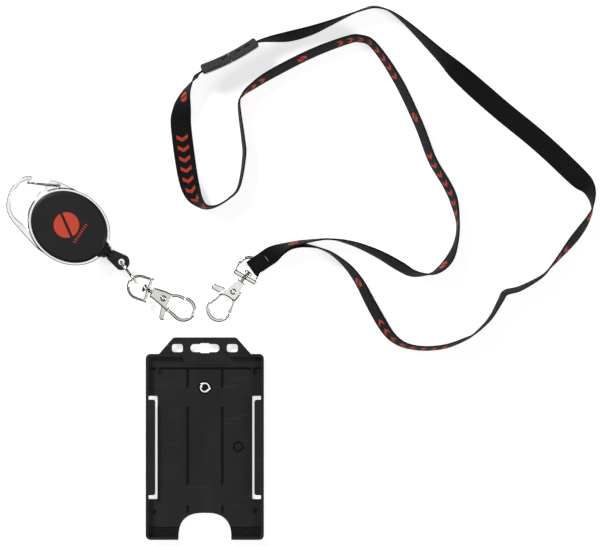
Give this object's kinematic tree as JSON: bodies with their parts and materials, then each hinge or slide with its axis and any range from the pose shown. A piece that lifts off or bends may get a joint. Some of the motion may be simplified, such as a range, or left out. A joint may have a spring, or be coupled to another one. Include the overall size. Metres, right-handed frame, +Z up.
{
  "type": "lanyard badge holder set",
  "caption": "Badge set: rigid open-face card holder, retractable cord reel with carabiner and snap hook, and a webbing neck lanyard with snap hook and breakaway buckle.",
  "frame": {"origin": "middle of the set's outline on the surface it lies on", "axes": "+Z up off the surface; +Y towards the holder's hanging tab; +X to the right, towards the far bend of the lanyard's loop"},
  "size_m": [0.2848, 0.2587, 0.0136],
  "materials": {
    "holder_plastic": "satin, finely textured",
    "cover_plastic": "satin gloss",
    "spool_plastic": "matte",
    "buckle_plastic": "satin gloss",
    "chrome_frame": "polished plating",
    "nickel": "polished nickel plating",
    "spring_steel": "drawn wire and strip",
    "webbing": "ribbed polyester weave",
    "thread": "twisted thread",
    "cord": "braided nylon",
    "print": "screen-printed ink"
  },
  "bodies": {
    "holder": {"card_holder": "holder_plastic", "holder_eyelet": "nickel"},
    "cord_end": {"cord_connector": "cover_plastic", "cord_lead": "cord"},
    "reel_case": {"reel_frame": "chrome_frame", "front_cover": "cover_plastic", "rear_cover": "cover_plastic", "cord_nose": "cover_plastic", "spool_axle": "nickel", "face_emblem": "print", "power_spring": "spring_steel", "cord_run": "cord"},
    "spool": {"spool": "spool_plastic", "cord_winding": "cord"},
    "gate": {"gate_wire": "nickel"},
    "ring": {"link_ring": "nickel"},
    "reel_loop": {"reel_swivel_loop": "nickel"},
    "reel_hook": {"reel_hook_body": "nickel", "reel_swivel_stem": "nickel", "reel_hook_rivet": "nickel", "reel_trigger_spring": "spring_steel"},
    "reel_lever": {"reel_trigger": "nickel"},
    "lanyard": {"strap_inner": "webbing", "strap_outer": "webbing", "strap_stitching": "thread", "buckle_socket": "buckle_plastic"},
    "breakaway": {"buckle_plug": "buckle_plastic", "strap_end": "webbing"},
    "lanyard_loop": {"lanyard_swivel_loop": "nickel", "strap_fold": "webbing"},
    "lanyard_hook": {"lanyard_hook_body": "nickel", "lanyard_swivel_stem": "nickel", "lanyard_hook_rivet": "nickel", "lanyard_trigger_spring": "spring_steel"},
    "lanyard_lever": {"lanyard_trigger": "nickel"}
  },
  "joints": [
    {"name": "reel_set_lift", "type": "slide", "parent": "holder", "child": "cord_end", "axis": [0, 0, 1], "range_m": [0, 0.1]},
    {"name": "cord_pull", "type": "slide", "parent": "cord_end", "child": "reel_case", "axis": [-0.829, 0.5592, 0], "range_m": [0, 0.6], "stiffness_N_per_m": 0.8, "springref_m": -1},
    {"name": "spool_spin", "type": "hinge", "parent": "reel_case", "child": "spool", "pos_m": [-0.1115, 0.0223, 0.00575], "axis": [0, 0, 1], "continuous": true},
    {"name": "gate_swing", "type": "hinge", "parent": "reel_case", "child": "gate", "pos_m": [-0.1168, 0.04216, 0.00575], "axis": [0, 0, 1], "range_deg": [0, 25], "stiffness_Nm_per_rad": 0.002, "springref_deg": -17.19},
    {"name": "ring_swing", "type": "hinge", "parent": "cord_end", "child": "ring", "pos_m": [-0.08638, 0.00536, 0.00575], "axis": [0, 0, 1], "range_deg": [-45, 45]},
    {"name": "reel_hook_tilt", "type": "hinge", "parent": "ring", "child": "reel_loop", "pos_m": [-0.0808, -0.00245, 0.00489], "axis": [-0.82, -0.5724, 0], "range_deg": [0, 60]},
    {"name": "reel_hook_swivel", "type": "hinge", "parent": "reel_loop", "child": "reel_hook", "pos_m": [-0.07715, -0.0063, 0.0044], "axis": [0.874, -0.4745, -0.1045], "continuous": true},
    {"name": "reel_trigger_press", "type": "hinge", "parent": "reel_hook", "child": "reel_lever", "pos_m": [-0.06623, -0.01223, 0.00309], "axis": [-0.0919, 0.0499, -0.9945], "range_deg": [0, 25], "stiffness_Nm_per_rad": 0.002, "springref_deg": -17.19},
    {"name": "lanyard_lift", "type": "slide", "parent": "holder", "child": "lanyard", "axis": [0, 0, 1], "range_m": [0, 0.1]},
    {"name": "buckle_release", "type": "slide", "parent": "lanyard", "child": "breakaway", "axis": [0.891, 0.454, 0], "range_m": [0, 0.014], "deforming": ["strap_end"]},
    {"name": "lanyard_hook_tilt", "type": "hinge", "parent": "lanyard", "child": "lanyard_loop", "pos_m": [-0.01648, 0.00693, 0.0009], "axis": [-0.5736, 0.8192, 0], "range_deg": [0, 90], "deforming": ["strap_fold"]},
    {"name": "lanyard_hook_swivel", "type": "hinge", "parent": "lanyard_loop", "child": "lanyard_hook", "pos_m": [-0.0245, 0.0007, 0.00236], "axis": [-0.6292, -0.777, -0.0209], "continuous": true},
    {"name": "lanyard_trigger_press", "type": "hinge", "parent": "lanyard_hook", "child": "lanyard_lever", "pos_m": [-0.03236, -0.00901, 0.0021], "axis": [0.0132, 0.0163, -0.9998], "range_deg": [0, 25], "stiffness_Nm_per_rad": 0.002, "springref_deg": -17.19}
  ],
  "couplings": [
    {"joint": "spool_spin", "follows": "cord_pull", "rad_per_m": -86.2}
  ]
}
